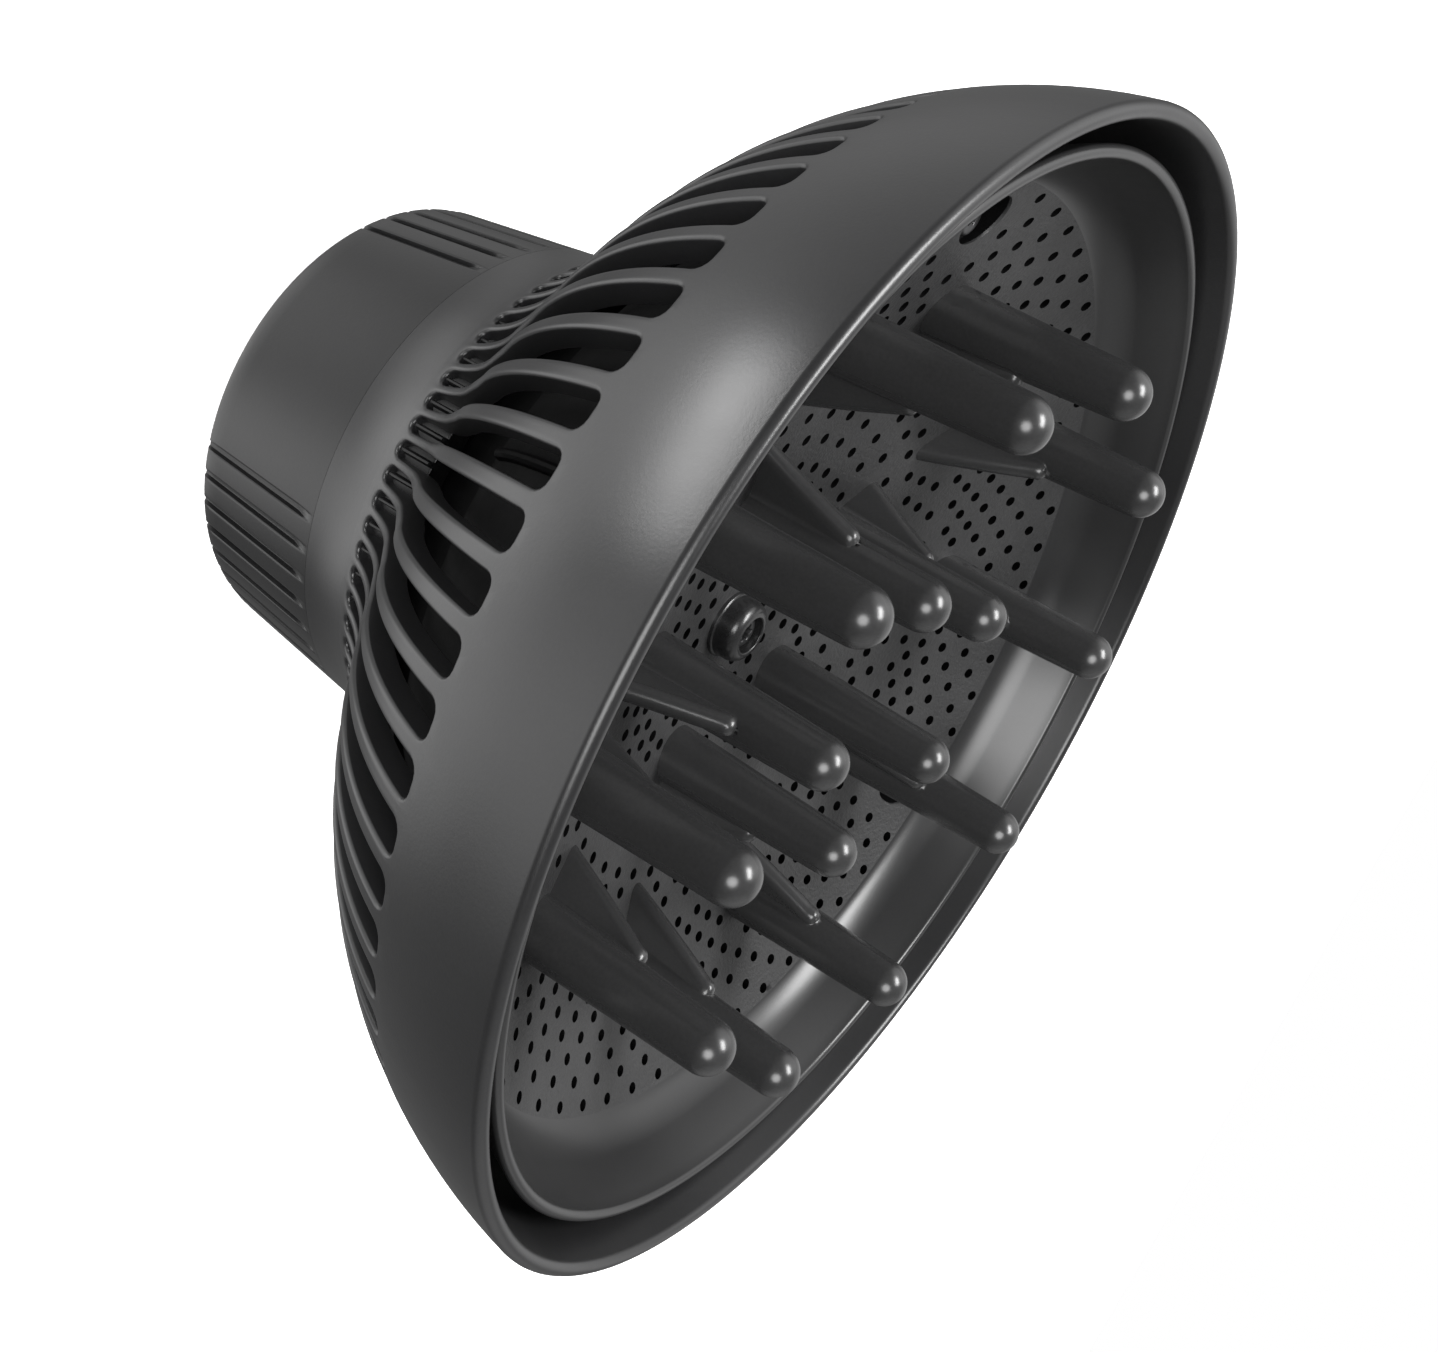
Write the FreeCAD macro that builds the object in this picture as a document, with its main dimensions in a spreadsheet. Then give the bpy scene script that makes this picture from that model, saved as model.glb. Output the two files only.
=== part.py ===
"""Hair-dryer diffuser: slotted bell, grip collar, perforated finger bowl and inner air chamber.

Millimetres. +Z runs from the collar's end face up to the mouth; the origin is the centre of that
end face, where the diffuser stands and where the dryer's barrel enters.
"""
import FreeCAD, Part
import math
import os

import Sketcher

doc = FreeCAD.newDocument("dryer_diffuser")
sheet = doc.addObject("Spreadsheet::Sheet", "Dims")

DIMENSIONS = {
    # outer bell, from the mouth down to the neck
    "mouth_radius": 75.1, "mouth_height": 91.4, "bell_wall": 2.8,
    "shoulder_arc": 62.0, "shoulder_radius": 50.5, "shoulder_height": 46.8,
    "waist_radius": 44.0, "waist_height": 41.3, "neck_arc": 29.0,
    "neck_radius": 33.9, "neck_height": 22.2,
    "spigot_radius": 28.6, "spigot_bore": 26.4, "spigot_end": 2.6, "seat_height": 24.0,
    # cooling slots round the shoulder
    "slot_count": 72, "slot_angle": 3.25, "slot_start": 2.0, "slot_top": 73.0, "slot_bottom": 32.2,
    "slot_top_corner": 1.3, "slot_neck_corner": 0.75,
    # grip collar
    "collar_end_radius": 31.4, "collar_bore": 28.7, "collar_edge": 1.2,
    "groove_width": 1.1, "groove_depth": 0.75, "groove_pitch": 7.125, "grooves_per_side": 17,
    "panel_centre": -98.5,
    # soft sleeve that grips the dryer's barrel
    "barrel_radius": 23.5, "sleeve_outer": 26.3, "sleeve_end": 0.8, "sleeve_top": 22.0,
    "sleeve_flange": 28.4, "sleeve_mouth": 25.2, "sleeve_entry": 1.8,
    "sleeve_stop_radius": 22.0, "sleeve_stop": 1.6,
    # finger bowl
    "dish_height": 62.1, "dish_sphere": 138.0, "dish_wall": 2.0, "dish_radius": 62.6,
    "bowl_wall": 1.6, "corner_arc": 3.6, "corner_radius": 65.2, "corner_height": 79.6,
    "lip_radius": 68.9, "lip_height": 87.2,
    "boss_radius": 4.2, "boss_rise": 3.2, "under_boss": 2.6,
    "recess_radius": 2.9, "recess_depth": 1.6, "screw_hole": 1.7,
    "screw_circle": 57.0, "screw_angle": 81.5, "pocket_radius": 3.4, "pocket_depth": 2.9,
    "pad_radius": 4.8, "pad_wall": 1.4, "hole_radius": 0.78, "hole_phase": 2.4,
    # fingers
    "finger_tip": 3.24, "finger_base": 3.93, "finger_angle": 9.5,
    "inner_circle": 18.15, "inner_dome": 87.85, "inner_web_top": 78.2,
    "outer_circle": 45.7, "outer_dome": 94.2, "outer_web_top": 82.5,
    "finger_foot": 25.0, "web_reach": 10.5, "web_top_reach": 4.5, "web_width": 2.6,
    "web_round": 0.8, "web_foot": 6.0,
    "stem_radius": 2.0, "stem_hole": 2.05, "rivet_radius": 2.9, "rivet_height": 1.2,
    # air chamber behind the bowl
    "tube_radius": 30.8, "tube_bottom": 24.1, "tube_step": 29.5, "band_radius": 32.9,
    "band_bottom": 31.8, "band_top": 37.0, "chamber_wall": 1.6,
    "throat_arc": 18.0, "throat_radius": 42.0, "throat_height": 48.0,
    "chamber_arc": 62.0, "chamber_radius": 64.0, "chamber_height": 74.6,
    "ridge_count": 144, "ridge_radius": 33.4, "ridge_width": 0.6,
    "rib_count": 10, "rib_height": 1.6, "rib_width": 1.2, "rib_bottom": 52.0, "rib_top": 73.0,
    "rib_angle": -94.0,
    "post_radius": 3.2, "post_bottom": 63.5, "pilot_radius": 1.25, "pilot_depth": 5.4,
    # deflector behind the centre of the bowl
    "hub_radius": 4.5, "hub_gap": 0.05, "hub_pilot": 7.0, "deflector_radius": 22.0,
    "deflector_rim": 54.5, "deflector_nose": 45.5, "deflector_arc": 40.0, "deflector_wall": 1.5,
    # screws
    "head_radius": 2.55, "head_height": 1.5, "shank_radius": 1.2, "shank_gap": 0.02,
    "centre_shank": 11.5, "bowl_shank": 6.2,
    "drive_radius": 0.95, "drive_lobe": 0.34, "drive_depth": 0.9,
}
for row, (alias, number) in enumerate(DIMENSIONS.items(), start=1):
    sheet.set(f"A{row}", alias)
    sheet.set(f"B{row}", str(number))
    sheet.setAlias(f"B{row}", alias)
doc.recompute()


class Size:
    """A length that carries its number and the sheet expression that drives it."""

    def __init__(self, number, text):
        self.number = number
        self.text = text

    def __add__(self, other):
        return Size(self.number + as_size(other).number, f"({self.text} + {as_size(other).text})")

    def __sub__(self, other):
        return Size(self.number - as_size(other).number, f"({self.text} - {as_size(other).text})")

    def __mul__(self, factor):
        return Size(self.number * factor, f"({self.text} * {factor})")


def as_size(value):
    if isinstance(value, Size):
        return value
    return Size(value, str(value))


def size(alias):
    return Size(float(sheet.get(alias)), f"Dims.{alias}")


def number(alias):
    return float(sheet.get(alias))


def bind(thing, **properties):
    """Tie each named property to its sheet expression."""
    for name, value in properties.items():
        thing.setExpression(name.replace("__", "."), as_size(value).text)
    return thing


def turned(direction, degrees):
    """The vector at that azimuth in the XY plane, of the given length."""
    angle = math.radians(degrees)
    return FreeCAD.Vector(direction * math.cos(angle), direction * math.sin(angle), 0)


# arc radius over edge width of a rounded rim, just more than a half circle would need
HALF_ROUND = 0.52
Z_AXIS = FreeCAD.Vector(0, 0, 1)
ORIGIN = FreeCAD.Vector(0, 0, 0)


# ---- sketches and revolved bodies -------------------------------------------------------------

def arc_between(start, end, radius, hollow):
    """Arc from start to end; hollow arcs bend to the left of the way travelled."""
    chord = end - start
    middle = (start + end) * 0.5
    rise = math.sqrt(max(radius ** 2 - chord.Length ** 2 / 4, 0))
    normal = FreeCAD.Vector(-chord.y, chord.x, 0).normalize()
    centre = middle - normal * rise if hollow else middle + normal * rise
    first, last = (end, start) if hollow else (start, end)
    angles = [math.atan2(point.y - centre.y, point.x - centre.x) for point in (first, last)]
    circle = Part.Circle(centre, FreeCAD.Vector(0, 0, 1), radius)
    return Part.ArcOfCircle(circle, angles[0], angles[1])


def draw_profile(body, label, corners):
    """Closed sketch in the XZ plane; a corner is (radius, height) and, where an arc leaves it,
    the arc's radius and whether it is hollow."""
    sketch = body.newObject("Sketcher::SketchObject", label)
    plane = next(item for item in body.Origin.OriginFeatures if item.Role == "XZ_Plane")
    sketch.AttachmentSupport = (plane, [""])
    sketch.MapMode = "FlatFace"
    points = [FreeCAD.Vector(as_size(c[0]).number, as_size(c[1]).number, 0) for c in corners]
    ends = []
    for index, corner in enumerate(corners):
        start, end = points[index], points[(index + 1) % len(points)]
        if len(corner) > 2:
            arc = arc_between(start, end, as_size(corner[2]).number, corner[3])
            geometry = sketch.addGeometry(arc, False)
            ends.append((geometry, 2, 1) if corner[3] else (geometry, 1, 2))
            radius = sketch.addConstraint(Sketcher.Constraint("Radius", geometry, arc.Radius))
            sketch.setExpression(f"Constraints[{radius}]", as_size(corner[2]).text)
        else:
            geometry = sketch.addGeometry(Part.LineSegment(start, end), False)
            ends.append((geometry, 1, 2))
    for index, corner in enumerate(corners):
        line, first, _ = ends[index]
        before, _, last = ends[index - 1]
        sketch.addConstraint(Sketcher.Constraint("Coincident", before, last, line, first))
        for kind, value in (("DistanceX", corner[0]), ("DistanceY", corner[1])):
            value = as_size(value)
            if value.number == 0:
                axis = -2 if kind == "DistanceX" else -1
                sketch.addConstraint(Sketcher.Constraint("PointOnObject", line, first, axis))
                continue
            rule = Sketcher.Constraint(kind, -1, 1, line, first, value.number)
            sketch.setExpression(f"Constraints[{sketch.addConstraint(rule)}]", value.text)
    return sketch


def revolve(label, corners):
    """Body turned about Z from a closed profile."""
    body = doc.addObject("PartDesign::Body", label)
    sketch = draw_profile(body, f"{label}_profile", corners)
    turn = body.newObject("PartDesign::Revolution", f"{label}_turn")
    turn.Profile = sketch
    turn.ReferenceAxis = (sketch, ["V_Axis"])
    turn.Angle = 360
    sketch.Visibility = False
    doc.recompute()
    return body


# ---- primitives and booleans ------------------------------------------------------------------

def solid(kind, label, **properties):
    return bind(doc.addObject(f"Part::{kind}", label), **properties)


def cut(label, base, tool):
    result = doc.addObject("Part::Cut", label)
    result.Base = base
    result.Tool = tool
    return result


def common(label, base, tool):
    result = doc.addObject("Part::Common", label)
    result.Base = base
    result.Tool = tool
    return result


def fuse(label, *shapes):
    result = doc.addObject("Part::MultiFuse", label)
    result.Shapes = list(shapes)
    return result


def feature(label, shape):
    result = doc.addObject("Part::Feature", label)
    result.Shape = shape
    return result


def ball(label, radius):
    """Sphere about the centre of curvature of the dish."""
    height = size("dish_height") + size("dish_sphere")
    return solid("Sphere", label, Radius=radius, Placement__Base__z=height)


def dish(radius, depth=0):
    """Height of the dish at a radius, measured depth below its upper face."""
    top, sphere = size("dish_height"), size("dish_sphere")
    radius, depth = as_size(radius), as_size(depth)
    reach = math.sqrt((sphere.number + depth.number) ** 2 - radius.number ** 2)
    text = f"sqrt(({sphere.text} + {depth.text}) ^ 2 - {radius.text} ^ 2)"
    return top + sphere - Size(reach, text)


def upright(label, radius, bottom, top, along=0, angle=0):
    """Vertical cylinder at a distance and azimuth from the axis."""
    radial, angle = as_size(along), as_size(angle)
    bar = solid("Cylinder", label, Radius=radius, Height=as_size(top) - bottom)
    azimuth = math.radians(angle.number)
    bind(bar, Placement__Base__x=Size(radial.number * math.cos(azimuth),
                                      f"{radial.text} * cos({angle.text} * 1 deg)"),
         Placement__Base__y=Size(radial.number * math.sin(azimuth),
                                 f"{radial.text} * sin({angle.text} * 1 deg)"),
         Placement__Base__z=bottom)
    return bar


# ---- outer bell -------------------------------------------------------------------------------

def bell_slot():
    """The first wedge-shaped cutter, with rounded ends."""
    bottom, top = number("slot_bottom"), number("slot_top")
    outside = number("mouth_radius") + 5
    section = [(28, bottom), (outside, bottom), (outside, top), (52, top), (40, 50), (28, 40)]
    wire = Part.makePolygon([FreeCAD.Vector(r, 0, z) for r, z in section + section[:1]])
    wedge = Part.Face(wire).revolve(ORIGIN, Z_AXIS, number("slot_angle"))
    for height, corner in ((top, "slot_top_corner"), (bottom, "slot_neck_corner")):
        radial = [edge for edge in wedge.Edges
                  if all(abs(v.Z - height) < 1e-6 for v in edge.Vertexes)
                  and isinstance(edge.Curve, Part.Line)]
        wedge = wedge.makeFillet(number(corner), radial)
    wedge.rotate(ORIGIN, Z_AXIS, number("slot_start") - number("slot_angle") / 2)
    return wedge


def outer_bell():
    wall = size("bell_wall")
    lean = math.radians(49.8)
    across, along = wall * math.cos(lean), wall * math.sin(lean)
    rim = size("mouth_height") - wall * 0.5
    blank = revolve("bell_blank", [
        (size("spigot_bore"), size("spigot_end")),
        (size("spigot_radius"), size("spigot_end")),
        (size("spigot_radius"), size("neck_height")),
        (size("neck_radius"), size("neck_height"), size("neck_arc"), True),
        (size("waist_radius"), size("waist_height")),
        (size("shoulder_radius"), size("shoulder_height"), size("shoulder_arc"), False),
        (size("mouth_radius"), rim, wall * HALF_ROUND, False),
        (size("mouth_radius") - wall, rim, size("shoulder_arc") - wall, True),
        (size("shoulder_radius") - across, size("shoulder_height") + along),
        (size("waist_radius") - across, size("waist_height") + along,
         size("neck_arc") + wall, False),
        (size("neck_radius") - wall, size("seat_height")),
        (size("spigot_bore"), size("seat_height")),
    ])
    slot = bell_slot()
    count = int(number("slot_count"))
    slots = [slot.copy().rotate(ORIGIN, Z_AXIS, 360 / count * n) for n in range(count)]
    return cut("outer_bell", blank, feature("bell_slots", Part.makeCompound(slots)))


# ---- grip collar and barrel sleeve ------------------------------------------------------------

def grip_collar():
    edge = size("collar_edge")
    end, neck, top = size("collar_end_radius"), size("neck_radius"), size("neck_height")
    blank = revolve("collar_blank", [
        (size("collar_bore"), 0),
        (end - edge, 0, edge, False),
        (end, edge),
        (neck, top - 0.4),
        (neck - 0.4, top),
        (size("collar_bore"), top),
    ])
    lean = math.degrees(math.atan2(neck.number - end.number, top.number))
    inset = number("groove_depth")
    grooves = []
    for side in (0, 180):
        for n in range(int(number("grooves_per_side"))):
            bar = Part.makeBox(10, number("groove_width"), top.number + 20)
            bar.translate(FreeCAD.Vector(-inset, -number("groove_width") / 2, -10))
            bar.rotate(ORIGIN, FreeCAD.Vector(0, 1, 0), lean)
            bar.translate(FreeCAD.Vector(end.number, 0, 0))
            middle = number("panel_centre") + 90 + side
            step = n - (number("grooves_per_side") - 1) / 2
            bar.rotate(ORIGIN, Z_AXIS, middle + step * number("groove_pitch"))
            grooves.append(bar)
    return cut("grip_collar", blank, feature("collar_grooves", Part.makeCompound(grooves)))


def barrel_sleeve():
    end, stop = size("sleeve_end"), size("sleeve_top") - size("sleeve_stop")
    spigot = size("spigot_end") - 0.05
    return revolve("barrel_sleeve", [
        (size("sleeve_mouth"), end),
        (size("sleeve_flange"), end),
        (size("sleeve_flange"), spigot),
        (size("sleeve_outer"), spigot),
        (size("sleeve_outer"), size("sleeve_top")),
        (size("sleeve_stop_radius"), size("sleeve_top")),
        (size("sleeve_stop_radius"), stop),
        (size("barrel_radius"), stop),
        (size("barrel_radius"), end + size("sleeve_entry")),
    ])


# ---- finger bowl ------------------------------------------------------------------------------

# outermost ring radius, rings in the band, ratio from ring to ring, holes in each ring
HOLE_BANDS = (
    (61.4, 9, 0.9564, 60),
    (39.0, 3, 0.934, 48),
    (29.9, 2, 0.88, 36),
    (22.3, 3, 0.888, 36),
    (14.1, 1, 1.0, 30),
    (10.5, 1, 1.0, 20),
    (7.3, 1, 1.0, 16),
)
FINGERS = [("inner", 72 * n) for n in range(5)] + [("outer", 36 * n) for n in range(10)]
SCREW_TURNS = (0, 120, 240)


def finger_azimuth(turn):
    return number("finger_angle") + turn


def hole_is_free(point):
    """True where the plate carries no finger, web or screw pocket."""
    edge = number("hole_radius")
    for kind, turn in FINGERS:
        axis = turned(1, finger_azimuth(turn))
        outward = 1 if kind == "inner" else -1
        along = (point.dot(axis) - number(f"{kind}_circle")) * outward
        aside = abs(point.dot(turned(1, finger_azimuth(turn) + 90)))
        if math.hypot(along, aside) < number("finger_base") + edge + 0.4:
            return False
        if 0 < along < number("web_reach") + edge and aside < number("web_width") / 2 + edge + 0.3:
            return False
    for turn in SCREW_TURNS:
        pocket = turned(number("screw_circle"), number("screw_angle") + turn)
        if (point - pocket).Length < number("pad_radius") + edge + 0.2:
            return False
    return True


def bowl_holes():
    """Every perforation as a short bar square to the dish."""
    sphere = number("dish_sphere")
    centre = FreeCAD.Vector(0, 0, number("dish_height") + sphere)
    bars = []
    ring = 0
    for outermost, rings, ratio, count in HOLE_BANDS:
        for step in range(rings):
            radius = outermost * ratio ** step
            for n in range(count):
                phase = number("hole_phase") + 180 / count * (ring % 2)
                point = turned(radius, phase + 360 / count * n)
                if hole_is_free(point):
                    drop = math.sqrt(sphere ** 2 - radius ** 2)
                    normal = FreeCAD.Vector(point.x, point.y, -drop).normalize()
                    start = centre + normal * (sphere - 1)
                    bars.append(Part.makeCylinder(number("hole_radius"), 5, start, normal))
            ring += 1
    return feature("bowl_holes", Part.makeCompound(bars))


def finger_bowl():
    wall, lip = size("bowl_wall"), size("lip_radius")
    boss, recess = size("boss_radius"), size("recess_radius")
    boss_top = size("dish_height") + size("boss_rise")
    plate = size("dish_wall")
    under = size("dish_height") - plate - size("under_boss")
    shell = revolve("bowl_shell", [
        (size("screw_hole"), under),
        (boss, under),
        (boss, dish(boss, plate), size("dish_sphere") + plate, False),
        (size("dish_radius"), dish(size("dish_radius"), plate), size("corner_arc") + wall, False),
        (size("corner_radius") + wall, size("corner_height") - 0.2),
        (lip + wall * 0.5, size("lip_height"), wall * HALF_ROUND, False),
        (lip - wall * 0.5, size("lip_height")),
        (size("corner_radius"), size("corner_height"), size("corner_arc"), True),
        (size("dish_radius"), dish(size("dish_radius")), size("dish_sphere"), True),
        (boss, dish(boss)),
        (boss, boss_top, (boss - recess) * HALF_ROUND, False),
        (recess, boss_top),
        (recess, boss_top - size("recess_depth")),
        (size("screw_hole"), boss_top - size("recess_depth")),
    ])
    circle = size("screw_circle")
    floor = dish(circle) - size("pocket_depth")
    pads, tools = [], []
    for n, turn in enumerate(SCREW_TURNS):
        angle = size("screw_angle") + turn
        pads.append(upright(f"bowl_pad_{n}", size("pad_radius"), floor - size("pad_wall"),
                            floor + 8, circle, angle))
        tools.append(upright(f"bowl_pocket_{n}", size("pocket_radius"), floor, floor + 10,
                             circle, angle))
        tools.append(upright(f"bowl_screw_hole_{n}", size("screw_hole"), floor - 5, floor + 1,
                             circle, angle))
    for n, (kind, turn) in enumerate(FINGERS):
        along = size(f"{kind}_circle")
        tools.append(upright(f"bowl_stem_hole_{n}", size("stem_hole"), dish(along) - 5,
                             dish(along) + 5, along, size("finger_angle") + turn))
    trimmed = cut("bowl_pads", fuse("bowl_pad_bars", *pads), ball("bowl_inside", size("dish_sphere")))
    blank = fuse("bowl_blank", shell, trimmed)
    drilled = cut("bowl_drilled", blank, fuse("bowl_tools", *tools))
    return cut("finger_bowl", drilled, bowl_holes())


# ---- fingers ----------------------------------------------------------------------------------

def finger_master(kind, side):
    """One finger standing on the X axis, its web reaching out (side 1) or in (side -1)."""
    circle, dome, web_top = (size(f"{kind}_{part}") for part in ("circle", "dome", "web_top"))
    tip, foot = size("finger_tip"), dome - size("finger_foot")
    cone = solid("Cone", f"{kind}_cone", Radius1=size("finger_base"), Radius2=tip,
                 Height=dome - foot, Placement__Base__x=circle, Placement__Base__z=foot)
    cap = solid("Sphere", f"{kind}_cap", Radius=tip, Placement__Base__x=circle,
                Placement__Base__z=dome)
    base = dish(circle) - size("web_foot")
    top_reach = circle + size("web_top_reach") * side
    reach = circle + size("web_reach") * side
    outline = [(circle, base), (reach, base), (reach, dish(reach)), (top_reach, web_top),
               (circle, web_top)]
    body = doc.addObject("PartDesign::Body", f"{kind}_web")
    sketch = draw_profile(body, f"{kind}_web_outline", outline)
    pad = body.newObject("PartDesign::Pad", f"{kind}_web_pad")
    pad.Profile = sketch
    pad.Midplane = True
    bind(pad, Length=size("web_width"))
    doc.recompute()
    rims = [f"Edge{n}" for n, edge in enumerate(pad.Shape.Edges, start=1)
            if is_web_rim(edge, (top_reach, reach), web_top)]
    rounded = body.newObject("PartDesign::Fillet", f"{kind}_web_round")
    rounded.Base = (pad, rims)
    bind(rounded, Radius=size("web_round"))
    post = common(f"{kind}_post", fuse(f"{kind}_solid", cone, cap, body),
                  ball(f"{kind}_inside", size("dish_sphere")))
    stem = upright(f"{kind}_stem", size("stem_radius"), dish(circle, size("dish_wall")) - 0.6,
                   dish(circle) + 4, circle)
    rivet = cut(f"{kind}_rivet",
                upright(f"{kind}_rivet_bar", size("rivet_radius"),
                        dish(circle, size("dish_wall")) - size("rivet_height") - 0.9,
                        dish(circle), circle),
                ball(f"{kind}_under", size("dish_sphere") + size("dish_wall")))
    return fuse(f"{kind}_finger", post, stem, rivet)


def is_web_rim(edge, reaches, web_top):
    """Edges of the web's slope and its flat top, on both faces, and the crest between them."""
    low, high = sorted(reach.number for reach in reaches)
    points = [vertex.Point for vertex in edge.Vertexes]
    across = abs(points[0].y - points[1].y) > 1e-6
    on_top = all(abs(point.z - web_top.number) < 1e-6 for point in points)
    on_slope = all(low - 1e-6 < point.x < high + 1e-6 for point in points)
    level = abs(points[0].z - points[1].z) < 1e-6
    if across:
        return on_top and on_slope
    return on_top or (on_slope and not level and abs(points[0].x - points[1].x) > 1e-6)


def fingers():
    masters = {"inner": finger_master("inner", 1), "outer": finger_master("outer", -1)}
    made = []
    for n, (kind, turn) in enumerate(FINGERS, start=1):
        finger = doc.addObject("Part::Refine", f"finger_{n:02d}")
        finger.Source = masters[kind]
        angle = size("finger_angle") + turn
        finger.Placement = FreeCAD.Placement(ORIGIN, Z_AXIS, angle.number)
        bind(finger, Placement__Rotation__Angle=angle)
        made.append(finger)
    return made


# ---- air chamber and deflector ----------------------------------------------------------------

def polar_blades(label, count, width, inside, outside, bottom, top, start):
    """Compound of thin upright blades standing radially round the axis."""
    blades = []
    for n in range(count):
        blade = Part.makeBox(outside - inside, width, top - bottom)
        blade.translate(FreeCAD.Vector(inside, -width / 2, bottom))
        blades.append(blade.rotate(ORIGIN, Z_AXIS, start + 360 / count * n))
    return feature(label, Part.makeCompound(blades))


def chamber_outline(grow):
    """Outer flare of the chamber, pushed outwards by the given amount."""
    return [
        (size("band_radius") + grow, size("band_top"), size("throat_arc"), True),
        (size("throat_radius") + grow, size("throat_height"), size("chamber_arc"), False),
        (size("chamber_radius") + grow, size("chamber_height")),
    ]


def air_chamber():
    wall, tube, band = size("chamber_wall"), size("tube_radius"), size("band_radius")
    inner = [(corner[0] - wall * 1.2, corner[1]) for corner in reversed(chamber_outline(0))]
    inner[0] += (size("chamber_arc"), True)
    inner[1] += (size("throat_arc"), False)
    shell = revolve("chamber_shell", [
        (tube - wall, size("tube_bottom")),
        (tube, size("tube_bottom")),
        (tube, size("tube_step")),
        (band, size("band_bottom")),
        *chamber_outline(0),
        *inner,
        (band - wall * 1.2, size("band_bottom") + 0.5),
        (tube - wall, size("tube_step") + 0.5),
    ])
    ridge_ring = revolve("ridge_ring", [
        (band - 0.3, size("band_bottom") + 0.4),
        (band + 0.1, size("band_bottom") + 0.4),
        (size("ridge_radius"), size("band_bottom") + 0.8),
        (size("ridge_radius"), size("band_top") - 0.4),
        (band - 0.3, size("band_top") - 0.4),
    ])
    ridges = common("ridges", ridge_ring, polar_blades(
        "ridge_blades", int(number("ridge_count")), number("ridge_width"), 30, 36, 31, 38, 0.75))
    rib_ring = revolve("rib_ring", [
        (size("throat_radius") - 1, size("throat_height")),
        *chamber_outline(size("rib_height"))[1:],
        (size("chamber_radius") - 1, size("chamber_height"), size("chamber_arc"), True),
    ])
    ribs = common("ribs", rib_ring, polar_blades(
        "rib_blades", int(number("rib_count")), number("rib_width"), 38, 72,
        number("rib_bottom"), number("rib_top"), number("rib_angle")))
    circle = size("screw_circle")
    post_top = dish(circle) - size("pocket_depth") - size("pad_wall") - 0.02
    posts, pilots = [], []
    for n, turn in enumerate(SCREW_TURNS):
        angle = size("screw_angle") + turn
        posts.append(upright(f"chamber_post_{n}", size("post_radius"), size("post_bottom"),
                             post_top, circle, angle))
        pilots.append(upright(f"chamber_pilot_{n}", size("pilot_radius"),
                              post_top - size("pilot_depth"), post_top + 1, circle, angle))
    blank = fuse("chamber_blank", shell, ridges, ribs, *posts)
    return cut("air_chamber", blank, fuse("chamber_pilots", *pilots))


def air_deflector():
    hub, wall = size("hub_radius"), size("deflector_wall")
    top = size("dish_height") - size("dish_wall") - size("under_boss") - size("hub_gap")
    nose, rim = size("deflector_nose"), size("deflector_rim")
    return revolve("air_deflector", [
        (0, nose, size("deflector_arc"), False),
        (size("deflector_radius"), rim),
        (size("deflector_radius") - 0.3, rim + wall, size("deflector_arc") - wall, True),
        (hub, nose + 3.2),
        (hub, top),
        (size("pilot_radius"), top),
        (size("pilot_radius"), top - size("hub_pilot")),
        (0, top - size("hub_pilot")),
    ])


# ---- screws -----------------------------------------------------------------------------------

def screw(label, seat, shank, along=0, angle=0):
    """Pan-head screw with a six-lobe drive, its head resting at the seat height."""
    head = upright(f"{label}_head", size("head_radius"), seat, seat + size("head_height"),
                   along, angle)
    bar = upright(f"{label}_shank", size("shank_radius"), seat - shank, seat + 0.5, along, angle)
    azimuth = math.radians(as_size(angle).number)
    radial = as_size(along).number
    lobes = []
    deep = seat.number + number("head_height") - number("drive_depth")
    for n in range(6):
        lobe = Part.makeCylinder(number("drive_lobe"), 3)
        lobe.translate(turned(number("drive_radius"), 60 * n))
        lobes.append(lobe)
    drive = Part.makeCylinder(number("drive_radius"), 3).fuse(lobes)
    drive.translate(FreeCAD.Vector(radial * math.cos(azimuth), radial * math.sin(azimuth), deep))
    return cut(label, fuse(f"{label}_blank", head, bar), feature(f"{label}_drive", drive))


def centre_screw():
    seat = size("dish_height") + size("boss_rise") - size("recess_depth") + size("shank_gap")
    return screw("centre_screw", seat, size("centre_shank"))


def bowl_screws():
    circle = size("screw_circle")
    seat = dish(circle) - size("pocket_depth") + size("shank_gap")
    made = [screw(f"bowl_screw_{n}", seat, size("bowl_shank"), circle, size("screw_angle") + turn)
            for n, turn in enumerate(SCREW_TURNS)]
    group = doc.addObject("Part::Compound", "bowl_screws")
    group.Links = made
    return group


# ---- build, check and write -------------------------------------------------------------------

nodes = [outer_bell(), grip_collar(), barrel_sleeve(), finger_bowl(), air_chamber(),
         air_deflector(), centre_screw(), bowl_screws(), *fingers()]
doc.recompute()

faults = [item.Label for item in doc.Objects if {"Invalid", "Error"} & set(item.State)]
faults += [node.Label for node in nodes if node.Shape.isNull() or not node.Shape.isValid()]
if faults:
    raise RuntimeError(f"not built cleanly: {faults}")

os.makedirs("parts", exist_ok=True)
for node in nodes:
    node.Shape.exportStep(f"parts/{node.Label}.step")
    print(node.Label, len(node.Shape.Solids), round(node.Shape.Volume, 1))
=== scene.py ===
"""Studio scene of a hair-dryer diffuser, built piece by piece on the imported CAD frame.

Shapes below are in millimetres and turned into metres when a piece is made.
"""
import math

import bpy
import numpy as np
from mathutils import Matrix, Vector
from mathutils.geometry import delaunay_2d_cdt


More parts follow.
